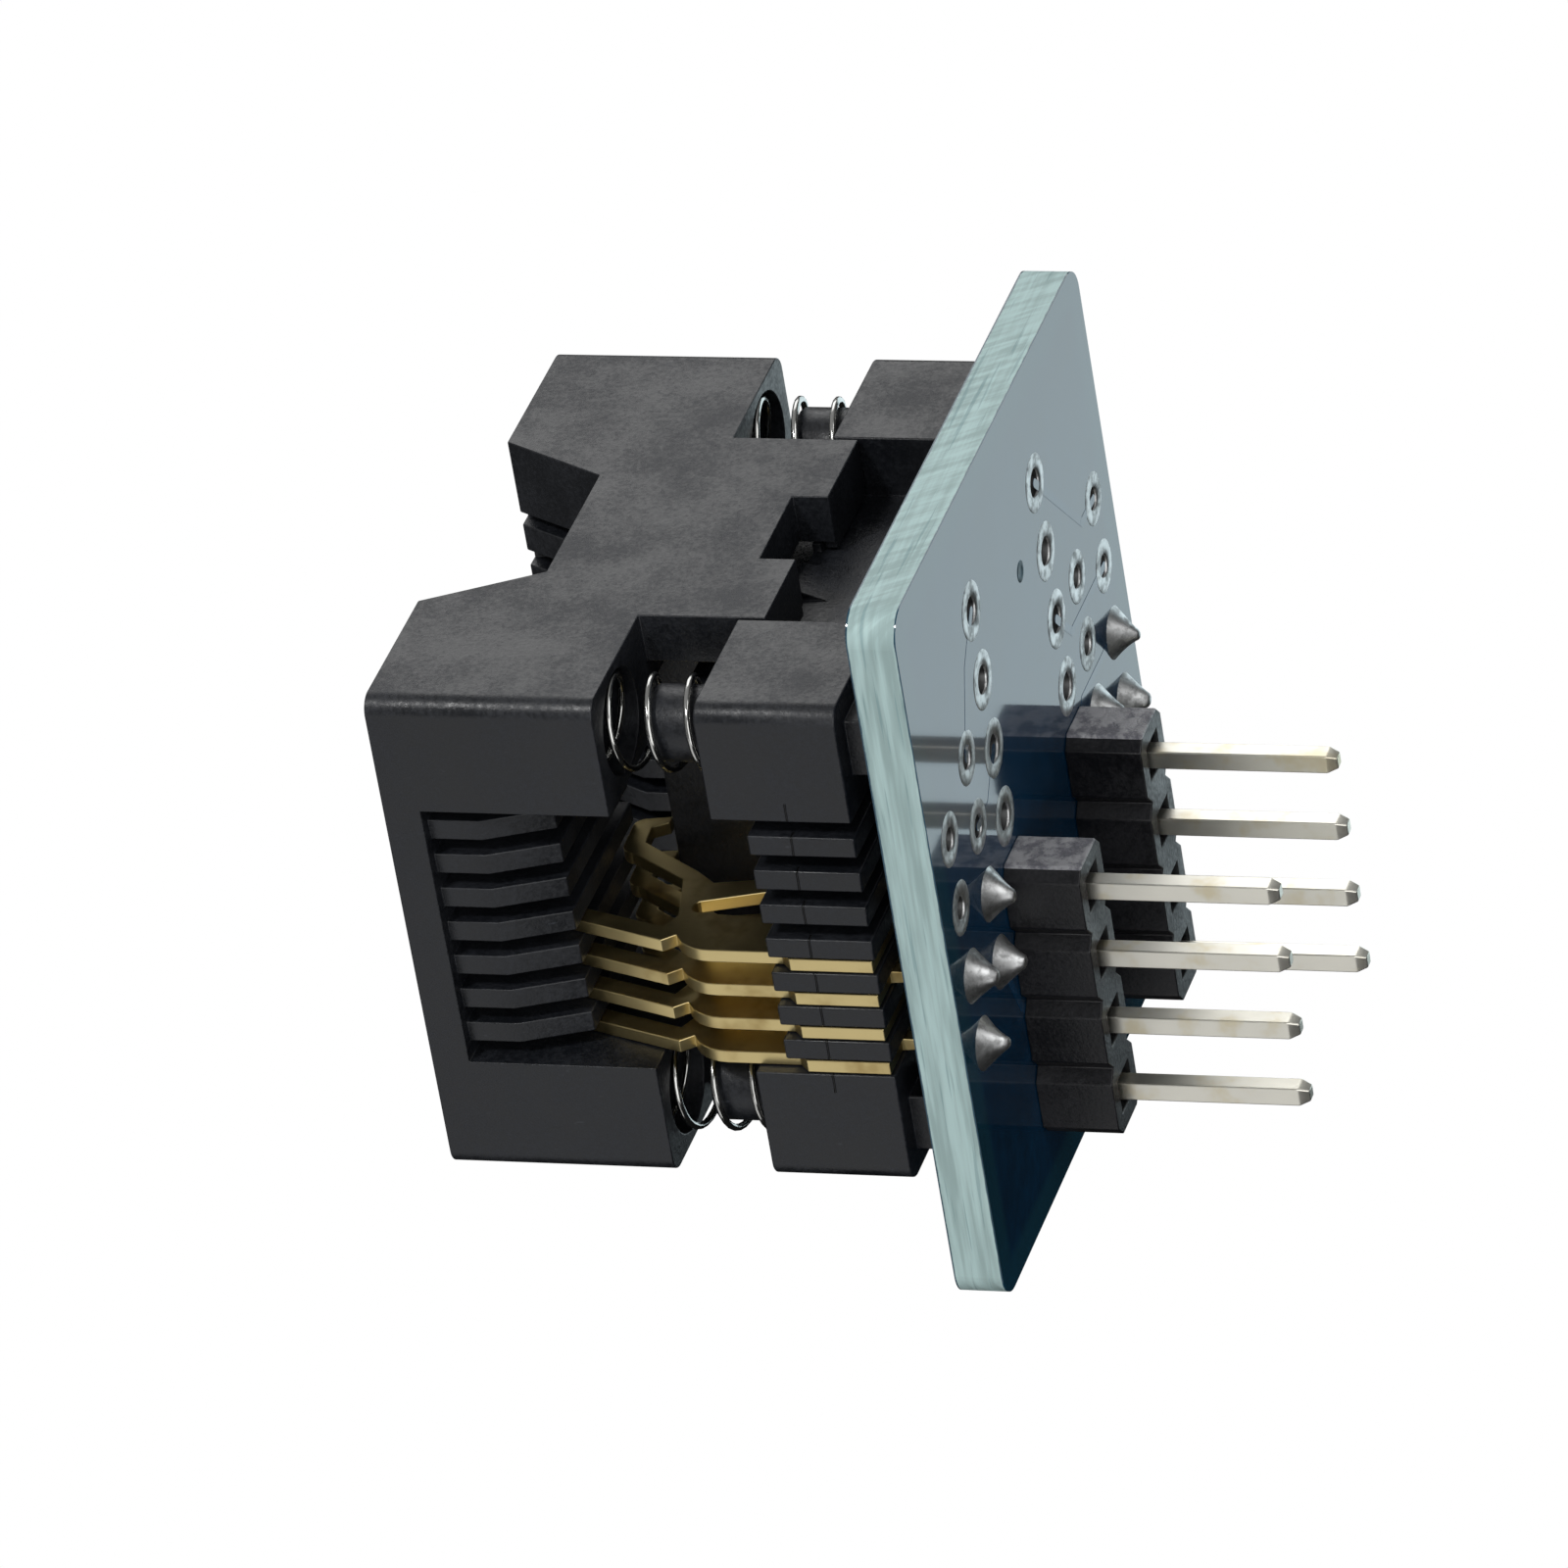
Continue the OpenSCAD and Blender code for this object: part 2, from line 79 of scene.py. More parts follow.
PITCH = 2.54 * MM
HEADER_ROW = abs(sum(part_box(PIN_NODES[0])[i].y for i in (0, 1)) / 2)
FIRST_PIN_X = min(sum(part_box(n)[i].x for i in (0, 1)) / 2 for n in PIN_NODES)
TAIL_ROWS = (6.35 * MM, 9.05 * MM)
RING = 0.47 * MM
TAIL_RADIUS, PIN_RADIUS = 0.42 * MM, 0.5 * MM
LOADED = 4  # holes in each row that hold a pin or a tail
NEAR = 0.01 * MM

# The base's parting line stops short of the end walls.
SEAM_HALF_LENGTH = 5.4 * MM

# Where the slot between a contact's legs ends, and how far it runs on.
CROTCH = Vector((0.0, 7.62 * MM, 10.6 * MM))
CROTCH_REACH = 0.47 * MM
CROTCH_SHIFT = Vector((0.0, 0.26 * MM, 1.05 * MM))
CROTCH_SCALE = (1.0, 0.75, 0.5, 1.0)
TAIL_LIFT, TAIL_WIDTH = 0.14 * MM, 0.3
VIA = Vector((12.3 * MM, 1.2 * MM, 0.0))

# The camera: its axes, its place in mm and its focal length in frame widths.
CAMERA_RIGHT = Vector((-0.14805, 0.27526, -0.94990))
CAMERA_UP = Vector((0.83974, 0.54236, 0.02628))
CAMERA_BACK = Vector((0.52242, -0.79378, -0.31144))
CAMERA_PLACE = Vector((210.354, -312.288, -111.327)) * MM
CAMERA_FOCUS, SENSOR = 7.845, 36.0
FLOOR_DEPTH, FLOOR_HALF = 0.36, 0.9
SKY = (0.8, 0.0, 0.6)  # the side that the soft sky light comes from


def size(name, text, default, lowest, highest):
    """A length property, stated in millimetres and kept in metres"""
    return bpy.props.FloatProperty(
        name=name, description=text, default=default * MM, min=lowest * MM, max=highest * MM,
        precision=5, unit="LENGTH")


def paint(name, text, default):
    """A colour property"""
    return bpy.props.FloatVectorProperty(
        name=name, description=text, default=default, min=0.0, max=1.0, size=3, subtype="COLOR")


class SocketSizes(bpy.types.PropertyGroup):
    """Edge radii and other small sizes that the solids leave out"""

    moulded_edge: size("Moulded edge", "Radius on the edges of the socket's plastic", 0.08, 0.0, 0.1)
    corner: size("Upright corner", "Radius on the upright corners of the base and the cover", 0.3, 0.05, 0.5)
    sheet_edge: size("Sheet edge", "Radius on the edges of the stamped contacts", 0.03, 0.0, 0.05)
    pin_edge: size("Pin edge", "Radius on the edges of the header pins", 0.04, 0.0, 0.1)
    pin_taper: size("Pin taper", "Length of the chamfer at a header pin's end", 0.35, 0.1, 0.8)
    strip_edge: size("Header edge", "Radius on the edges of the header insulators", 0.05, 0.0, 0.1)
    wire: size("Spring wire", "Diameter of the wire of the four springs", 0.23, 0.1, 0.4)
    coil_pitch: size("Spring pitch", "Distance between the open turns of a spring", 1.29, 0.6, 3.0)
    post_radius: size("Post radius", "Radius of the posts inside the springs", 1.22, 1.14, 1.3)
    post_height: size("Post height", "Height of those posts above the springs' seats", 2.3, 1.6, 3.0)
    barrel: size("Barrel wall", "Thickness of the plating in a hole", 0.04, 0.01, 0.1)
    track: size("Track width", "Width of the copper tracks under the mask", 0.3, 0.1, 1.0)
    seam_height: size("Parting line", "Height of the base's parting line above the header's seat", 7.1, 5.5,
                      8.4)


class SocketColours(bpy.types.PropertyGroup):
    """Base colours of the finishes"""

    plastic: paint("Socket plastic", "Glass-filled moulding of the cover and base", (0.010, 0.0115, 0.0150))
    header: paint("Header plastic", "Insulators of the pin headers", (0.010, 0.010, 0.012))
    mask: paint("Solder mask", "Blue lacquer on the board", (0.0012, 0.029, 0.072))
    laminate: paint("Laminate", "Glass-fibre edge of the board", (0.46, 0.63, 0.62))
    gold: paint("Contact gold", "Plating of the stamped contacts", (0.74, 0.60, 0.29))
    pin: paint("Pin plating", "Thin flash on the header pins", (0.88, 0.86, 0.77))
    steel: paint("Spring steel", "Drawn wire of the springs", (0.60, 0.60, 0.58))
    tin: paint("Tin", "Rings and solder on the board", (0.66, 0.67, 0.67))


# ---- shader expressions ----------------------------------------------------------------------------

class Sock:
    """One output socket, with the arithmetic that the finishes use"""

    def __init__(self, graph, socket):
        self.graph, self.socket = graph, socket

    def _math(self, kind, *terms):
        return self.graph.node("ShaderNodeMath", {"operation": kind}, terms)

    def __add__(self, other): return self._math("ADD", self, other)
    def __radd__(self, other): return self._math("ADD", other, self)
    def __sub__(self, other): return self._math("SUBTRACT", self, other)
    def __rsub__(self, other): return self._math("SUBTRACT", other, self)
    def __mul__(self, other): return self._math("MULTIPLY", self, other)
    def __rmul__(self, other): return self._math("MULTIPLY", other, self)
    def __truediv__(self, other): return self._math("DIVIDE", self, other)
    def __rtruediv__(self, other): return self._math("DIVIDE", other, self)
    def __gt__(self, other): return self._math("GREATER_THAN", self, other)
    def __lt__(self, other): return self._math("LESS_THAN", self, other)
    def __abs__(self): return self._math("ABSOLUTE", self)
    def larger(self, other): return self._math("MAXIMUM", self, other)
    def smaller(self, other): return self._math("MINIMUM", self, other)


class Graph:
    """A node tree under construction"""

    def __init__(self, tree):
        self.tree = tree

    def node(self, kind, settings=(), inputs=(), output=0):
        """Adds a node: its settings first, then the values or links of its sockets"""
        made = self.tree.nodes.new(kind)
        for key, value in dict(settings).items():
            setattr(made, key, value)
        pairs = inputs.items() if isinstance(inputs, dict) else enumerate(inputs)
        for key, value in pairs:
            self.feed(made.inputs[key], value)
        return Sock(self, made.outputs[output])

    def feed(self, target, value):
        """Links a socket to an input, or sets the input to a constant"""
        if isinstance(value, Sock):
            self.tree.links.new(value.socket, target)
        else:
            target.default_value = value

    def span(self, value, low, high, to_low=0.0, to_high=1.0):
        """Fits a value smoothly from one range into another"""
        return self.node("ShaderNodeMapRange", {"interpolation_type": "SMOOTHSTEP"},
                         [value, low, high, to_low, to_high])


class Finish(Graph):
    """A node material under construction, around one Principled shader"""

    def __init__(self, name, color, roughness, **fixed):
        self.material = bpy.data.materials.new(name)
        self.material.use_nodes = True
        super().__init__(self.material.node_tree)
        self.shader = next(n for n in self.tree.nodes if n.type == "BSDF_PRINCIPLED")
        self.place = self.node("ShaderNodeTexCoord", output="Object")
        self.set("Base Color", (*color, 1.0))
        self.set("Roughness", roughness)
        for key, value in fixed.items():
            self.set(key.replace("_", " "), value)
        self.material.diffuse_color = (*color, 1.0)

    def set(self, name, value):
        """Links or sets one input of the shader"""
        self.feed(self.shader.inputs[name], value)

    def noise(self, scale, detail=3.0, rough=0.5, where=None):
        return self.node("ShaderNodeTexNoise", {}, {
            "Vector": where or self.place, "Scale": scale, "Detail": detail, "Roughness": rough})

    def stretched(self, x, y, z):
        """The place on the object, scaled along each axis"""
        return self.node("ShaderNodeVectorMath", {"operation": "MULTIPLY"}, [self.place, (x, y, z)])

    def mix(self, mask, a, b):
        """Colour a where the mask is 0 and b where it is 1"""
        pair = [c if isinstance(c, Sock) else (*c, 1.0) for c in (a, b)]
        return self.node("ShaderNodeMix", {"data_type": "RGBA"}, {0: mask, 6: pair[0], 7: pair[1]}, output=2)

    def axis(self, name):
        """One coordinate of the place on the object"""
        return self.node("ShaderNodeSeparateXYZ", {}, [self.place], output="XYZ".index(name))

    def bump(self, height, depth, strength=1.0):
        """Raises the surface by depth (in metres) times height"""
        self.set("Normal", self.node("ShaderNodeBump", {}, {
            "Strength": strength, "Distance": depth, "Height": height}))


def tinted(color, factor, lift=0.0):
    return tuple(min(1.0, c * factor + lift) for c in color)


def moulded_plastic(name, color, seam=None, snapped=None):
    """Glass-filled plastic with a satin skin

    A seam is the height of a parting line on the long sides. Snapped is the X of a rough broken end, whose
    paler colour is partly stress-whitening and partly painted light.
    """
    m = Finish(name, color, 0.4, Specular_IOR_Level=0.5)
    cloud = m.noise(330.0, 4.0, 0.62)
    grain = m.noise(6500.0, 2.0, 0.7)
    fibre = m.noise(2600.0, 3.0, 0.7, m.stretched(1.0, 1.0, 0.35))
    mottled = m.mix(m.span(cloud * 0.55 + grain * 0.45, 0.38, 0.68),
                    tinted(color, 0.72), tinted(color, 1.55, 0.004))
    flecks = m.span(fibre, 0.66, 0.80)
    shade = m.mix(flecks * 0.5, mottled, tinted(color, 4.0, 0.02))
    height = grain * 0.6 + cloud * 0.5 + fibre * 0.4
    if seam is not None:
        wander = (m.noise(900.0, 1.0, 0.5) - 0.5) * 0.08 * MM
        line = m.span(abs(m.axis("Z") - seam + wander), 0.012 * MM, 0.045 * MM)
        outside = abs(m.axis("Y")) > (BASE_HIGH.y - 0.3 * MM)
        groove = (1.0 - line) * outside * (abs(m.axis("X") - CENTRE_X) < SEAM_HALF_LENGTH)
        shade = m.mix(groove, shade, (0.001, 0.001, 0.001))
        height = height - groove * 3.0
    if snapped is not None:
        torn = m.noise(1700.0, 4.0, 0.7)
        broken = m.axis("X") > (snapped - 0.09 * MM)
        # The broken end is paler from stress-whitening and partly from painted light: its grey is raised to
        # stand in for light that the board shades off.
        whitened_and_painted_light = m.mix(m.span(torn, 0.38, 0.58), tinted(color, 12.0, 0.06), (0.42, 0.42, 0.44))
        shade = m.mix(broken, mottled, whitened_and_painted_light)
        height = height + broken * torn * 5.0
    m.set("Base Color", shade)
    m.set("Roughness", m.span(grain * 0.4 + cloud * 0.6, 0.36, 0.64, 0.29, 0.53))
    m.bump(height, 0.030 * MM, 0.6)
    return m.material


def plated_metal(name, color, tarnish, roughness, along=(1.0, 1.0, 1.0), coverage=(0.5, 0.8)):
    """Plated metal, unevenly polished along one axis, with slight tarnish"""
    m = Finish(name, color, roughness, Metallic=1.0)
    lines = m.noise(3200.0, 2.0, 0.6, m.stretched(*along))
    patches = m.noise(700.0, 3.0, 0.55)
    m.set("Base Color", m.mix(m.span(patches, *coverage), color, tarnish))
    m.set("Roughness", m.span(lines * 0.25 + patches * 0.75, 0.3, 0.7, roughness * 0.9, roughness * 1.15))
    return m.material


def solder_metal(name, color, bore=False):
    """Solder or tin: smooth pools with a frosting, and painted shade inside a bore through the board"""
    m = Finish(name, color, 0.25, Metallic=1.0)
    frost = m.noise(2600.0, 3.0, 0.6)
    pools = m.noise(900.0, 2.0, 0.5)
    bright = m.mix(m.span(frost, 0.42, 0.66), color, tinted(color, 0.5))
    if bore:
        # Inside the bore the colour is darkened: painted shade of the hole's wall.
        half = (BOARD_HIGH.z - BOARD_LOW.z) / 2
        bright = m.mix(abs(m.axis("Z") - BOARD_MID) < (half - 0.06 * MM), bright, tinted(color, 0.13))
    m.set("Base Color", bright)
    m.set("Roughness", m.span(frost * 0.6 + pools * 0.4, 0.3, 0.7, 0.32, 0.52))
    m.bump(pools * 1.0 + frost * 0.3, 0.03 * MM, 0.6)
    return m.material


def board_finish(name, mask_color, laminate):
    """Blue solder mask on both faces and bare glass-fibre laminate round the edge"""
    m = Finish(name, mask_color, 0.1)
    half = (BOARD_HIGH.z - BOARD_LOW.z) / 2
    depth = abs(m.axis("Z") - BOARD_MID)
    wander = (m.noise(1500.0, 2.0, 0.6) - 0.5) * 0.05 * MM
    edge = m.span(depth + wander, half - 0.07 * MM, half - 0.03 * MM)
    # Rovings lie in layers, and the saw leaves slanted bundles between them.
    layers = m.noise(1.0, 3.0, 0.6, m.stretched(200.0, 200.0, 5200.0))
    slanted = m.node("ShaderNodeCombineXYZ", {}, [
        m.axis("X") * 240.0, (m.axis("Y") + m.axis("Z") * 0.7) * 3000.0, m.axis("Z") * 500.0])
    bundles = m.noise(1.0, 2.0, 0.6, slanted)
    glass = m.span(layers * 0.45 + bundles * 0.55, 0.36, 0.64)
    weave = m.mix(glass, tinted(laminate, 0.76), tinted(laminate, 1.06, 0.03))
    threads = m.span(m.noise(1.0, 2.0, 0.5, m.stretched(260.0, 260.0, 7200.0)), 0.60, 0.68)
    edge_color = m.mix(threads * 0.4, weave, (0.12, 0.24, 0.27))
    clouds = m.noise(160.0, 3.0, 0.6)
    cloth = m.noise(1800.0, 2.0, 0.6)
    lacquer = m.mix(m.span(clouds * 0.6 + cloth * 0.4, 0.35, 0.65),
                    tinted(mask_color, 0.8), tinted(mask_color, 1.35))
    # The lacquer thins towards the board's edges.
    middle = ((BOARD_LOW.x + BOARD_HIGH.x) / 2, (BOARD_LOW.y + BOARD_HIGH.y) / 2)
    inward = ((BOARD_HIGH.x - BOARD_LOW.x) / 2 - abs(m.axis("X") - middle[0])).smaller(
        (BOARD_HIGH.y - BOARD_LOW.y) / 2 - abs(m.axis("Y") - middle[1]))
    poured = m.span(inward, 0.8 * MM, 1.3 * MM)
    lacquer = m.mix(poured, m.mix(0.5, lacquer, (0.010, 0.075, 0.105)), lacquer)
    m.set("Base Color", m.mix(edge, edge_color, lacquer))
    m.set("Roughness", m.span(edge, 0.0, 1.0, 0.62, 0.09))
    m.set("Coat Weight", edge * 0.35)
    m.set("Coat Roughness", 0.04)
    m.bump(m.noise(420.0, 2.0, 0.5) * 0.35 * edge + (layers * 0.8 + bundles) * (1.0 - edge), 0.02 * MM, 0.35)
    return m.material


def track_finish(name, mask_color):
    """Mask over copper: a little paler than over bare laminate"""
    m = Finish(name, tinted(mask_color, 1.5), 0.1, Coat_Weight=0.35, Coat_Roughness=0.04)
    clouds = m.noise(400.0, 2.0, 0.5)
    m.set("Base Color", m.mix(m.span(clouds, 0.35, 0.65),
                              tinted(mask_color, 1.3), tinted(mask_color, 1.9, 0.004)))
    m.bump(clouds, 0.004 * MM, 0.4)
    return m.material


# ---- mesh helpers ----------------------------------------------------------------------------------

def finish_piece(name, bm, body, material, nodes=(), smooth=35.0, even=False):
    """Turns a bmesh into a piece that rides on a body and stands for its CAD nodes"""
    bmesh.ops.recalc_face_normals(bm, faces=bm.faces)
    mesh = bpy.data.meshes.new(name)
    bm.to_mesh(mesh)
    bm.free()
    mesh.materials.append(material)
    mesh.shade_smooth()
    mesh.set_sharp_from_angle(angle=math.radians(smooth))
    obj = bpy.data.objects.new(name, mesh)
    bpy.context.scene.collection.objects.link(obj)
    if even:
        weighted = obj.modifiers.new("even_shading", "WEIGHTED_NORMAL")
        weighted.keep_sharp = True
    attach(obj, body)
    if nodes:
        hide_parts(*nodes)
    return obj


def copy_of(*nodes):
    """The CAD nodes' meshes in one, with their triangles joined into flat faces"""
    bm = bmesh.new()
    for node in nodes:
        bm.from_mesh(frame["nodes"][node].data)
    bmesh.ops.remove_doubles(bm, verts=bm.verts, dist=1e-7)
    bmesh.ops.dissolve_limit(bm, angle_limit=math.radians(0.8), verts=bm.verts, edges=bm.edges)
    return bm


def soften(bm, width, segments=3, least=35.0):
    """Rounds the sharp edges of a mesh"""
    if width > 0.0:
        sharp = [e for e in bm.edges if e.is_manifold and e.calc_face_angle(0.0) > math.radians(least)]
        bmesh.ops.bevel(bm, geom=sharp, offset=width, offset_type="OFFSET", affect="EDGES", segments=segments,
                        profile=0.5, material=-1, clamp_overlap=True)
    return bm


def turned(profile, steps, centre, bm):
    """A profile of (radius, height) points, spun once round an upright axis"""
    verts = [bm.verts.new((centre.x + r, centre.y, z)) for r, z in profile]
    ends = [] if profile[0][0] == profile[-1][0] == 0.0 else [(verts[-1], verts[0])]
    edges = [bm.edges.new(pair) for pair in [*zip(verts, verts[1:]), *ends]]
    bmesh.ops.spin(bm, geom=verts + edges, cent=(centre.x, centre.y, 0), axis=(0, 0, 1), angle=math.tau,
                   steps=steps, use_merge=True)
    on_axis = [v for v in bm.verts if (v.co.xy - centre.xy).length < 1e-6]
    bmesh.ops.remove_doubles(bm, verts=on_axis, dist=1e-7)


class Hole:
    """One plated hole of the board: its middle, its radius and its place in its row"""

    def __init__(self, x, y, radius, filled):
        self.centre, self.radius, self.filled = Vector((x, y, 0.0)), radius, filled


def plated_holes():
    """Every plated hole: two rows of eight for the headers, two staggered rows of eight for the tails"""
    holes = [Hole(FIRST_PIN_X + PITCH * i, side * HEADER_ROW, PIN_RADIUS, i < LOADED)
             for side in (-1, 1) for i in range(8)]
    for side in (-1, 1):
        for k in range(8):
            row = TAIL_ROWS[(k + (side > 0) + 1) % 2]
            holes.append(Hole(CENTRE_X + (k - 3.5) * PITCH / 2, side * row, TAIL_RADIUS, k < LOADED))
    return holes


# ---- operators -------------------------------------------------------------------------------------

class Step:
    """What all the steps share"""

    bl_options = {"REGISTER", "UNDO"}

    @property
    def sizes(self):
        return bpy.context.scene.socket_sizes

    @property
    def colours(self):
        return bpy.context.scene.socket_colours


class SOCKET_OT_housing(Step, bpy.types.Operator):
    """Mould the base and the cover with rounded edges"""

    bl_idname = "socket.housing"
    bl_label = "Base and cover"

    def execute(self, context):
        for node, body, slot, seam in (("base_body", SOCKET, "socket_plastic", self.sizes.seam_height),
                                       ("cover", COVER, "cover_plastic", None)):
            plastic = moulded_plastic(f"{node}_plastic", self.colours.plastic, seam)
            bm = copy_of(node)
            low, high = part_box(node)
            corners = [e for e in bm.edges if e.is_manifold and e.calc_face_angle(0.0) > 1.2 and all(
                min(v.co.x - low.x, high.x - v.co.x) < NEAR and min(v.co.y - low.y, high.y - v.co.y) < NEAR
                for v in e.verts)]
            bmesh.ops.bevel(bm, geom=corners, offset=self.sizes.corner, offset_type="OFFSET", affect="EDGES",
                            segments=6, profile=0.5, material=-1, clamp_overlap=True)
            finish_piece(f"{node}_moulding", soften(bm, self.sizes.moulded_edge), body, plastic,
                         [node], even=True)
        return {"FINISHED"}


class SOCKET_OT_contacts(Step, bpy.types.Operator):
    """Stamp and plate the eight contacts"""

    bl_idname = "socket.contacts"
    bl_label = "Contacts"

    def execute(self, context):
        gold = plated_metal("contact_plating", self.colours.gold, (0.46, 0.33, 0.13), 0.33, (1, 1, 0.3))
        for node in CONTACT_NODES:
            low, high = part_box(node)
            side = -1 if low.y + high.y < 0 else 1
            bm = copy_of(node)
            # The slot between the two legs runs on, narrower, into the hub.
            crotch = Vector((0.0, side * CROTCH.y, CROTCH.z))
            shift = Vector((0.0, side * CROTCH_SHIFT.y, CROTCH_SHIFT.z))
            arc = [v for v in bm.verts
                   if (v.co.yz - crotch.yz).length < CROTCH_REACH and v.co.z > crotch.z - 0.05 * MM]
            bmesh.ops.transform(bm, verts=arc, matrix=Matrix.Translation(crotch + shift) @ Matrix.Diagonal(
                CROTCH_SCALE) @ Matrix.Translation(-crotch))
            # The tail's end is drawn to a point, which the solder covers.
            ends = [v for v in bm.verts if v.co.z < low.z + NEAR]
            point = sum((v.co for v in ends), Vector()) / len(ends)
            bmesh.ops.translate(bm, verts=ends, vec=(0.0, 0.0, TAIL_LIFT))
            bmesh.ops.transform(bm, verts=ends, matrix=Matrix.Translation(point) @ Matrix.Diagonal(
                (TAIL_WIDTH, TAIL_WIDTH, 1.0, 1.0)) @ Matrix.Translation(-point))
            blade = finish_piece(f"{node}_stamping", soften(bm, self.sizes.sheet_edge, 2), SOCKET, gold,
                                 [node], smooth=20.0)
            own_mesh(blade)
        return {"FINISHED"}


class SOCKET_OT_springs(Step, bpy.types.Operator):
    """Wind the four springs, with closed end turns"""

    bl_idname = "socket.springs"
    bl_label = "Springs"

    def execute(self, context):
        wire = self.sizes.wire
        steel = plated_metal("spring_wire", self.colours.steel, tinted(self.colours.steel, 0.6), 0.16,
                             (1, 1, 4))
        for node in SPRING_NODES:
            low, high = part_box(node)
            centre = (low + high) / 2
            radius = (high.x - low.x - wire) / 2
            open_height = high.z - low.z - wire - 2 * 1.05 * wire
            turns = open_height / self.sizes.coil_pitch
            bm = bmesh.new()
            start = Matrix.Translation((centre.x - radius, centre.y, low.z + wire / 2)) @ Matrix.Rotation(
                math.pi / 2, 4, "X")
            ring = bmesh.ops.create_circle(bm, cap_ends=True, radius=wire / 2, segments=12,
                                           matrix=start)["verts"]
            geom = (list({f for v in ring for f in v.link_faces}) +
                    list({e for v in ring for e in v.link_edges}) + ring)
            for turn, pitch in ((1.0, 1.05 * wire), (turns, self.sizes.coil_pitch), (1.0, 1.05 * wire)):
                steps = max(8, round(28 * turn))
                geom = bmesh.ops.spin(bm, geom=geom, cent=(centre.x, centre.y, 0), axis=(0, 0, 1),
                                      dvec=(0, 0, pitch * turn / steps), angle=math.tau * turn,
                                      steps=steps)["geom_last"]
            inner = [f for f in bm.faces if len(f.verts) == 12]
            ends = sorted(inner, key=lambda f: f.calc_center_median().z)
            bmesh.ops.delete(bm, geom=ends[1:-1], context="FACES_ONLY")
            coil = finish_piece(f"{node}_coil", bm, SOCKET, steel, [node], smooth=40.0)
            length = high.z - low.z
            (length - TRAVEL) / length
            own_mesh(coil)
        return {"FINISHED"}


class SOCKET_OT_posts(Step, bpy.types.Operator):
    """Turn the posts inside the springs up to their full height"""

    bl_idname = "socket.posts"
    bl_label = "Spring posts"

    def execute(self, context):
        plastic = moulded_plastic("post_plastic", self.colours.plastic)
        bm = bmesh.new()
        radius, height = self.sizes.post_radius, self.sizes.post_height
        for node in SPRING_NODES:
            low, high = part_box(node)
            turned([(0.0, low.z), (radius, low.z), (radius, low.z + height - 0.15 * MM),
                    (radius - 0.05 * MM, low.z + height - 0.05 * MM), (radius - 0.15 * MM, low.z + height),
                    (0.0, low.z + height)], 48, (low + high) / 2, bm)
        finish_piece("spring_posts", bm, SOCKET, plastic, smooth=40.0)
        return {"FINISHED"}


class SOCKET_OT_header(Step, bpy.types.Operator):
    """Mould the two header strips and draw their eight pins"""

    bl_idname = "socket.header"
    bl_label = "Pin headers"

    def execute(self, context):
        for node in STRIP_NODES:
            black = moulded_plastic(f"{node}_plastic", self.colours.header, snapped=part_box(node)[1].x)
            finish_piece(f"{node}_moulding", soften(copy_of(node), self.sizes.strip_edge), SOCKET, black,
                         [node], even=True)
        flash = plated_metal("pin_plating", self.colours.pin, (0.80, 0.73, 0.54), 0.34, (6, 6, 0.5),
                             (0.50, 0.72))
        for node in PIN_NODES:
            low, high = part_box(node)
            bm = copy_of(node)
            # A cropped pin has a short chamfer and a blunt end.
            end = [v for v in bm.verts if v.co.z < low.z + NEAR]
            shoulder = [v for v in bm.verts if low.z + NEAR < v.co.z < low.z + 1.2 * MM]
            bmesh.ops.translate(bm, verts=shoulder, vec=(0.0, 0.0, low.z + self.sizes.pin_taper - min(
                (v.co.z for v in shoulder), default=low.z)))
            width = max(v.co.x for v in end) - min(v.co.x for v in end)
            grow = 0.62 * (high.x - low.x) / width
            middle = Vector(((low.x + high.x) / 2, (low.y + high.y) / 2, low.z))
            bmesh.ops.transform(bm, verts=end, matrix=Matrix.Translation(middle) @ Matrix.Diagonal(
                (grow, grow, 1.0, 1.0)) @ Matrix.Translation(-middle))
            finish_piece(f"{node}_drawn", soften(bm, self.sizes.pin_edge, 2, 15.0), SOCKET, flash,
                         [node], smooth=20.0, even=True)
        return {"FINISHED"}


class SOCKET_OT_board(Step, bpy.types.Operator):
    """Lacquer the board's faces and leave its edge bare"""

    bl_idname = "socket.board"
    bl_label = "Circuit board"

    def execute(self, context):
        colours = self.colours
        board = frame["nodes"]["circuit_board"]
        board.data.materials.clear()
        board.data.materials.append(board_finish("solder_mask_on_laminate", colours.mask, colours.laminate))
        return {"FINISHED"}


class SOCKET_OT_holes(Step, bpy.types.Operator):
    """Plate the holes: a ring on each face and a barrel between them"""

    bl_idname = "socket.holes"
    bl_label = "Plated holes"

    def execute(self, context):
        # The barrels carry painted shade inside the bore.
        tin = solder_metal("tinned_copper", self.colours.tin, bore=True)
        bm = bmesh.new()
        low, high, wall, lip = BOARD_LOW.z, BOARD_HIGH.z, self.sizes.barrel, 0.03 * MM
        sunk, proud = 0.005 * MM, 0.4 * lip
        for hole in plated_holes():
            if hole.filled:
                continue
            inner, outer = hole.radius - wall, hole.radius + RING
            turned([(inner, low + lip), (hole.radius, low - proud), (outer - lip, low - proud), (outer, low),
                    (outer, low + sunk), (hole.radius, low + sunk), (hole.radius, high - sunk),
                    (outer, high - sunk), (outer, high), (outer - lip, high + proud),
                    (hole.radius, high + proud), (inner, high - lip)], 40, hole.centre, bm)
        finish_piece("hole_plating", bm, SOCKET, tin, ["annular_rings"], smooth=50.0)
        return {"FINISHED"}


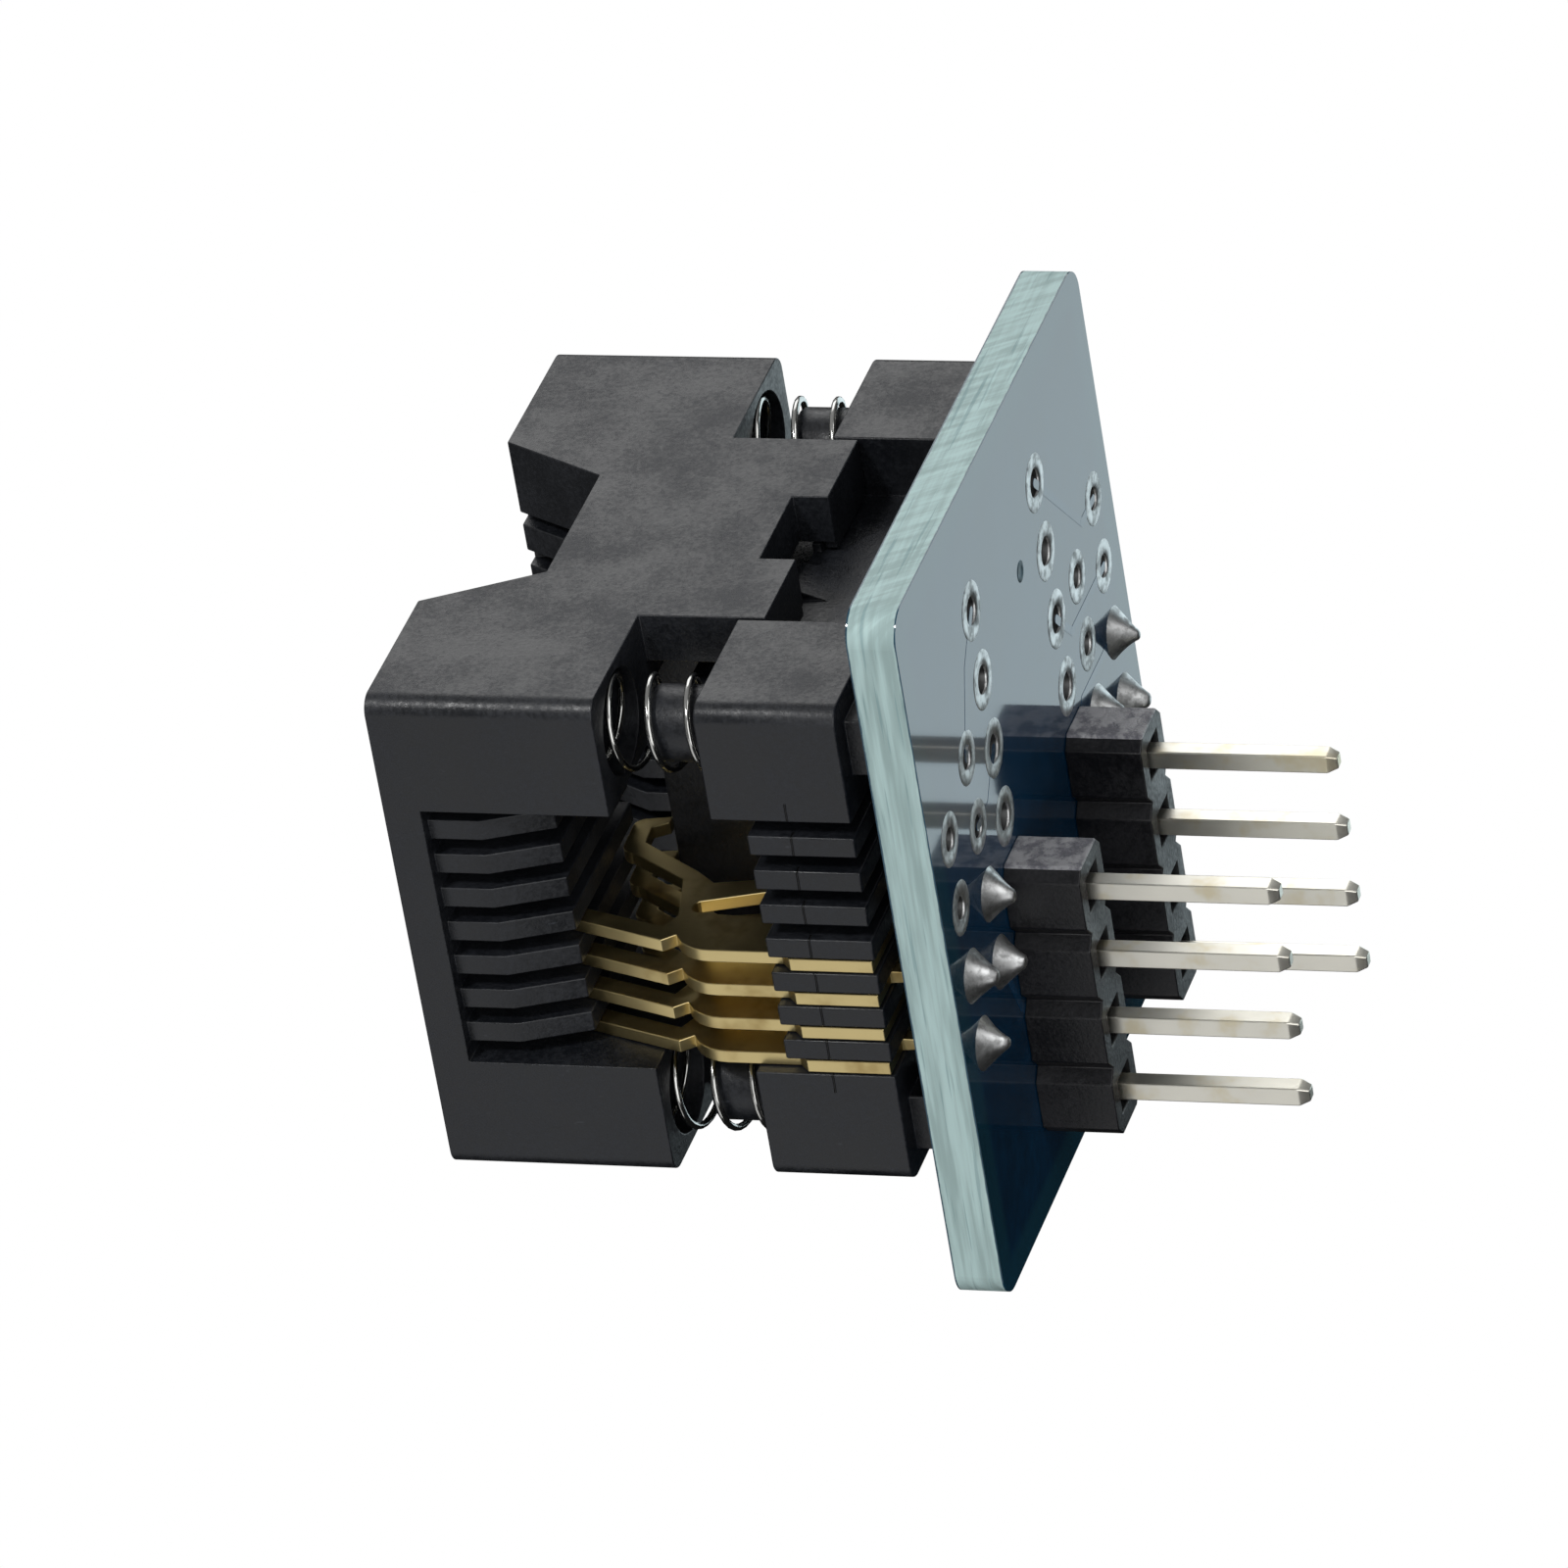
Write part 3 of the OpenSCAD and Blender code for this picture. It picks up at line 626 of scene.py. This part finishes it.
class SOCKET_OT_solder(Step, bpy.types.Operator):
    """Draw the solder up round each tail and each header pin"""

    bl_idname = "socket.solder"
    bl_label = "Solder"

    def fillets(self, name, node, start, reach, core, kind, slump):
        """Cones of one kind of hole, from a face of the board to a reach along what they hold"""
        bm = bmesh.new()
        for hole in plated_holes():
            if hole.filled and hole.radius == kind:
                foot = hole.radius + RING
                profile = [(core + (foot - core) * (1.0 - t) ** 1.25, start + reach * t) for t in
                           (0.0, 0.06, 0.14, 0.24, 0.36, 0.5, 0.66, 0.82, 0.94)]
                turned([(0.0, start), *profile, (core * 0.7, start + reach), (0.0, start + reach * 1.02)], 32,
                       hole.centre, bm)
        # Each joint froze a little differently.
        for v in bm.verts:
            out = abs(v.co.z - start) / abs(reach)
            turn = 900.0 * v.co.x + 1700.0 * v.co.y
            v.co += Vector((math.sin(turn * 2.1), math.cos(turn * 1.7), 0.0)) * slump * out
        solder = solder_metal(f"{name}_finish", tinted(self.colours.tin, 1.15))
        finish_piece(name, bm, SOCKET, solder, [node], smooth=50.0)

    def execute(self, context):
        self.fillets("tail_joints", "tail_solder", BOARD_LOW.z, -0.86 * MM, 0.17 * MM, TAIL_RADIUS,
                     0.05 * MM)
        self.fillets("pin_joints", "header_solder", BOARD_HIGH.z, 0.42 * MM, 0.46 * MM, PIN_RADIUS, 0.0)
        return {"FINISHED"}


class SOCKET_OT_tracks(Step, bpy.types.Operator):
    """Lay the copper tracks under the mask, from the header's holes to the tails'"""

    bl_idname = "socket.tracks"
    bl_label = "Tracks"

    def lay(self, bm, points, level):
        """A low flat-topped ridge along a bent line, with round corners"""
        half, rise = self.sizes.track / 2, 0.008 * MM
        for number, (a, b) in enumerate(zip(points, points[1:])):
            along = b - a
            place = Matrix.Translation(((a.x + b.x) / 2, (a.y + b.y) / 2, level)) @ Matrix.Rotation(
                math.atan2(along.y, along.x), 4, "Z") @ Matrix.Diagonal(
                (along.length, 2 * half, 2 * rise * (1.0 + 0.1 * number), 1.0))
            bmesh.ops.create_cube(bm, size=1.0, matrix=place)
        for number, p in enumerate(points):
            bmesh.ops.create_cone(bm, cap_ends=True, segments=20, radius1=half, radius2=half,
                                  depth=2 * rise * (1.05 + 0.1 * number),
                                  matrix=Matrix.Translation((p.x, p.y, level)))

    def execute(self, context):
        bm = bmesh.new()
        holes = plated_holes()
        for side in (-1, 1):
            pins = [h.centre for h in holes if h.radius == PIN_RADIUS and h.centre.y * side > 0]
            tails = [h.centre for h in holes if h.radius == TAIL_RADIUS and h.centre.y * side > 0]
            for number, (pin, tail) in enumerate(zip(pins, tails)):
                level = BOARD_LOW.z if number % 2 else BOARD_HIGH.z
                drop = tail.x - pin.x
                knee = pin + Vector((drop, side * abs(drop), 0.0)) if abs(drop) < abs(tail.y - pin.y) else \
                    Vector((tail.x - math.copysign(abs(tail.y - pin.y), drop), pin.y + side * 1.3 * MM, 0.0))
                self.lay(bm, [pin, knee, tail], level)
        finish_piece("tracks_under_mask", bm, SOCKET, track_finish("mask_over_copper", self.colours.mask),
                     smooth=30.0)
        bm = bmesh.new()
        level = BOARD_LOW.z
        turned([(0.0, level + 0.004 * MM), (0.0, level - 0.004 * MM), (0.17 * MM, level - 0.004 * MM),
                (0.20 * MM, level - 0.018 * MM), (0.30 * MM, level - 0.018 * MM),
                (0.36 * MM, level - 0.002 * MM), (0.36 * MM, level + 0.004 * MM)], 40, VIA, bm)
        finish_piece("via_ring", bm, SOCKET, solder_metal("via_copper", (0.05, 0.09, 0.11)),
                     smooth=40.0)
        return {"FINISHED"}


class SOCKET_OT_stage(Step, bpy.types.Operator):
    """Set the camera, the floor and the lights"""

    bl_idname = "socket.stage"
    bl_label = "Stage"

    def light(self, name, towards, distance, width, power, tint=(1.0, 1.0, 1.0), aside=(0.0, 0.0, 0.0)):
        """A square soft light that faces the socket's middle from a distance, and is then moved aside"""
        centre = Vector((CENTRE_X - 2 * MM, 0.0, 9.0 * MM))
        lamp = bpy.data.lights.new(name, "AREA")
        lamp.shape, lamp.size, lamp.energy, lamp.color = "SQUARE", width, power, tint
        holder = bpy.data.objects.new(name, lamp)
        direction = Vector(towards).normalized()
        holder.location = centre + direction * distance + Vector(aside)
        holder.rotation_euler = direction.to_track_quat("Z", "Y").to_euler()
        holder.visible_camera = False
        bpy.context.scene.collection.objects.link(holder)

    def execute(self, context):
        lens = bpy.data.cameras.new("camera")
        lens.sensor_width = SENSOR
        lens.lens = CAMERA_FOCUS * SENSOR
        lens.clip_start, lens.clip_end = 0.01, 10.0
        eye = bpy.data.objects.new("camera", lens)
        eye.matrix_world = Matrix.Translation(CAMERA_PLACE) @ Matrix(
            (CAMERA_RIGHT, CAMERA_UP, CAMERA_BACK)).transposed().to_4x4()
        context.scene.collection.objects.link(eye)
        context.scene.camera = eye

        world = bpy.data.worlds.new("soft_white")
        world.use_nodes = True
        sky = Graph(world.node_tree)
        way = sky.node("ShaderNodeTexCoord", output="Generated")
        towards = sky.node("ShaderNodeVectorMath", {"operation": "DOT_PRODUCT"}, [way, SKY], output="Value")
        # White to the camera, and a soft dim light from one side to everything else.
        seen = sky.node("ShaderNodeLightPath", output="Is Camera Ray")
        shown = world.node_tree.nodes["Background"]
        sky.feed(shown.inputs["Color"], (1.0, 1.0, 1.0, 1.0))
        sky.feed(shown.inputs["Strength"], sky.span(towards, -0.3, 0.9, 0.008, 0.30).larger(seen))
        context.scene.world = world
        context.scene.view_settings.view_transform = "Standard"

        bm = bmesh.new()
        bmesh.ops.create_grid(bm, x_segments=1, y_segments=1, size=FLOOR_HALF,
                              matrix=Matrix.Translation((0.0, 0.0, -FLOOR_DEPTH)))
        pale = Finish("pale_floor", (0.3, 0.3, 0.3), 0.8, Emission_Color=(0.72, 0.72, 0.72, 1.0),
                      Emission_Strength=1.0)
        pale.set("Roughness", pale.span(pale.noise(40.0), 0.3, 0.7, 0.7, 0.9))
        mesh = bpy.data.meshes.new("floor")
        bm.to_mesh(mesh)
        bm.free()
        mesh.materials.append(pale.material)
        floor = bpy.data.objects.new("floor", mesh)
        # Far below, since the camera looks up from under the board: it is seen, but throws no light back.
        floor.visible_diffuse = floor.visible_glossy = False
        context.scene.collection.objects.link(floor)

        self.light("overhead", (0.56, 0.77, 0.31), 0.45, 0.30, 0.44)
        self.light("edge_light", (0.79, -0.52, 0.31), 0.45, 0.06, 0.65)
        self.light("front", (0.22, -0.85, -0.45), 0.45, 0.45, 0.95)
        self.light("low_front", (-0.52, -0.79, 0.31), 0.45, 0.40, 0.34)
        self.light("low_top", (0.66, -0.15, -0.74), 0.45, 0.30, 0.50)
        self.light("board_glow", (-0.52, 0.79, -0.31), 0.12, 0.12, 0.054, (0.80, 0.95, 1.0),
                   (0.046, 0.029, 0.0))
        return {"FINISHED"}


class SOCKET_PT_panel(bpy.types.Panel):
    """The steps of the build, in order"""

    bl_label = "Test Socket"
    bl_idname = "SOCKET_PT_panel"
    bl_space_type = "VIEW_3D"
    bl_region_type = "UI"
    bl_category = "Test Socket"

    def draw(self, context):
        for step in STEPS:
            self.layout.operator(step.bl_idname)


STEPS = (SOCKET_OT_housing, SOCKET_OT_contacts, SOCKET_OT_springs, SOCKET_OT_posts, SOCKET_OT_header,
         SOCKET_OT_board, SOCKET_OT_holes, SOCKET_OT_solder, SOCKET_OT_tracks, SOCKET_OT_stage)
CLASSES = (SocketSizes, SocketColours, *STEPS, SOCKET_PT_panel)


def register():
    for item in CLASSES:
        bpy.utils.register_class(item)
    bpy.types.Scene.socket_sizes = bpy.props.PointerProperty(type=SocketSizes)
    bpy.types.Scene.socket_colours = bpy.props.PointerProperty(type=SocketColours)


def unregister():
    del bpy.types.Scene.socket_colours
    del bpy.types.Scene.socket_sizes
    for item in reversed(CLASSES):
        bpy.utils.unregister_class(item)


def main():
    register()
    for step in STEPS:
        group, verb = step.bl_idname.split(".")
        getattr(getattr(bpy.ops, group), verb)()


if __name__ == "__main__":
    main()
